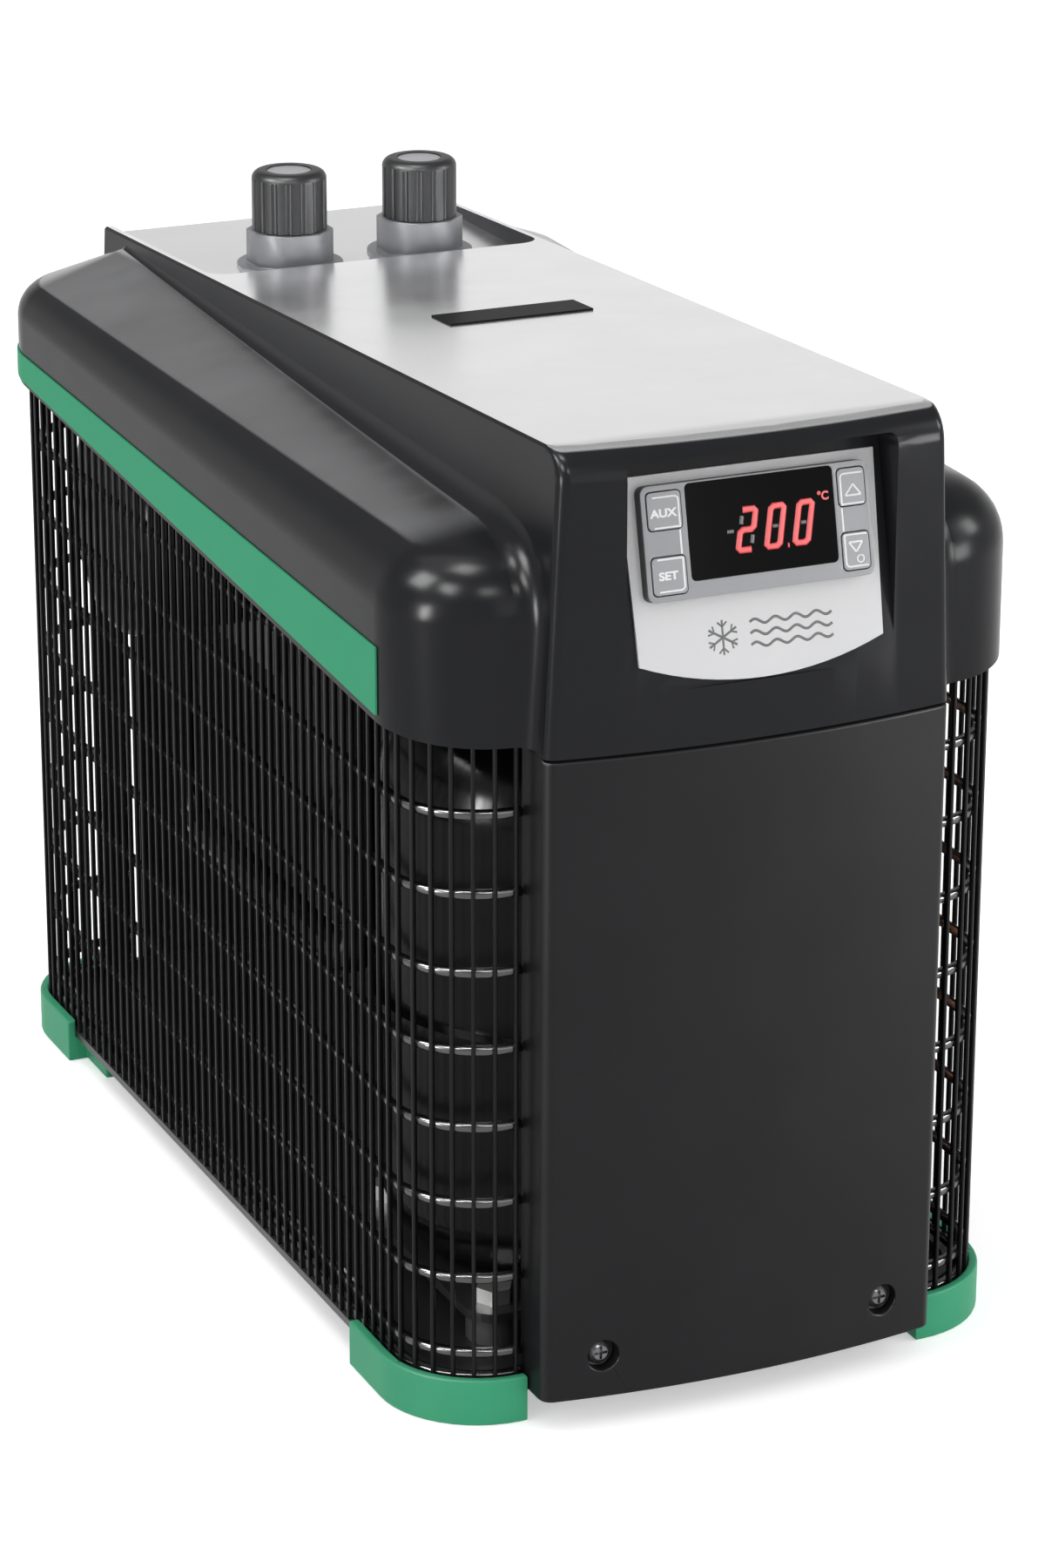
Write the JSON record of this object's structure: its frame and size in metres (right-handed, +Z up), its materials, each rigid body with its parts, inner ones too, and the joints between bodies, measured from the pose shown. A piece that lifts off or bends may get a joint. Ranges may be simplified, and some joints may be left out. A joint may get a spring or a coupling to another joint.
{
  "type": "water chiller",
  "caption": "Compact water chiller: grilled casing on four corner feet, smooth hood with tilted controller and two capped hose fittings on its deck.",
  "frame": {"origin": "middle of the footprint, on the surface that the feet stand on", "axes": "+Z up, +X to the right seen from the front, +Y from the front panel to the back"},
  "size_m": [0.2072, 0.404, 0.3255],
  "materials": {
    "black_steel": "satin black powder coat",
    "green_rubber": "moulded green, soft sheen",
    "green_film": "flat green film",
    "black_plastic": "moulded black with a soft gloss",
    "panel_plastic": "dark grey satin",
    "hood_plastic": "dark grey, polished",
    "black_screw": "blackened",
    "badge_black": "plain black",
    "label_silver": "silver grey",
    "bezel_grey": "mid grey",
    "key_grey": "mid grey",
    "window_black": "dark lens",
    "case_black": "black",
    "black_rubber": "black",
    "fitting_grey": "light grey moulded",
    "nut_dark": "dark grey moulded",
    "plug_light": "light grey",
    "foam_black": "black foam skin",
    "compressor_black": "glossy black enamel",
    "zinc_steel": "zinc",
    "fin_aluminium": "thin sheet",
    "copper": "copper",
    "motor_grey": "dark",
    "fan_plastic": "black"
  },
  "bodies": {
    "casing": {"base_tray": "black_steel", "foot_front_left": "green_rubber", "foot_front_right": "green_rubber", "foot_rear_left": "green_rubber", "foot_rear_right": "green_rubber", "grille_left": "black_plastic", "grille_right": "black_plastic", "front_panel": "panel_plastic", "front_screws": "black_screw", "rear_panel": "black_steel", "rear_screws": "black_screw", "uprights_front": "black_steel", "uprights_rear": "black_steel", "hood": "hood_plastic", "stripe_left": "green_film", "stripe_right": "green_film", "badge_plate": "badge_black", "label_plate": "label_silver", "controller_bezel": "bezel_grey", "controller_body": "case_black", "display_window": "window_black", "inlet_gasket": "black_rubber", "outlet_gasket": "black_rubber", "inlet_fitting": "fitting_grey", "outlet_fitting": "fitting_grey", "fitting_locknuts": "fitting_grey", "inlet_hose": "black_rubber", "outlet_hose": "black_rubber", "evaporator": "foam_black", "evaporator_cradle": "black_steel", "compressor_shell": "compressor_black", "compressor_plate": "black_steel", "compressor_grommets": "black_rubber", "compressor_bolts": "zinc_steel", "terminal_cover": "case_black", "condenser_fins": "fin_aluminium", "condenser_tubes": "copper", "fan_shroud": "case_black", "fan_motor": "motor_grey", "fan_pedestal": "black_steel", "discharge_pipe": "copper", "liquid_pipe": "copper", "filter_drier": "copper", "capillary_pipe": "copper", "suction_pipe": "foam_black", "cable_gland": "case_black"},
    "fan": {"fan_blades": "fan_plastic", "fan_shaft": "zinc_steel"},
    "aux_key": {"key_aux": "key_grey"},
    "set_key": {"key_set": "key_grey"},
    "up_key": {"key_up": "key_grey"},
    "down_key": {"key_down": "key_grey"},
    "inlet_nut": {"inlet_ring_nut": "nut_dark", "inlet_plug": "plug_light"},
    "outlet_nut": {"outlet_ring_nut": "nut_dark", "outlet_plug": "plug_light"}
  },
  "joints": [
    {"name": "fan_spin", "type": "hinge", "parent": "casing", "child": "fan", "pos_m": [0.014, 0.0205, 0.094], "axis": [1, 0, 0], "continuous": true},
    {"name": "aux_press", "type": "slide", "parent": "casing", "child": "aux_key", "axis": [0, 0.9748, -0.2233], "range_m": [0, 0.0005], "stiffness_N_per_m": 600},
    {"name": "set_press", "type": "slide", "parent": "casing", "child": "set_key", "axis": [0, 0.9748, -0.2233], "range_m": [0, 0.0005], "stiffness_N_per_m": 600},
    {"name": "up_press", "type": "slide", "parent": "casing", "child": "up_key", "axis": [0, 0.9748, -0.2233], "range_m": [0, 0.0005], "stiffness_N_per_m": 600},
    {"name": "down_press", "type": "slide", "parent": "casing", "child": "down_key", "axis": [0, 0.9748, -0.2233], "range_m": [0, 0.0005], "stiffness_N_per_m": 600},
    {"name": "inlet_nut_turn", "type": "hinge", "parent": "casing", "child": "inlet_nut", "pos_m": [-0.024, 0.1095, 0.3055], "axis": [0, 0, 1], "range_deg": [0, 360]},
    {"name": "outlet_nut_turn", "type": "hinge", "parent": "casing", "child": "outlet_nut", "pos_m": [0.024, 0.1095, 0.3055], "axis": [0, 0, 1], "range_deg": [0, 360]}
  ]
}
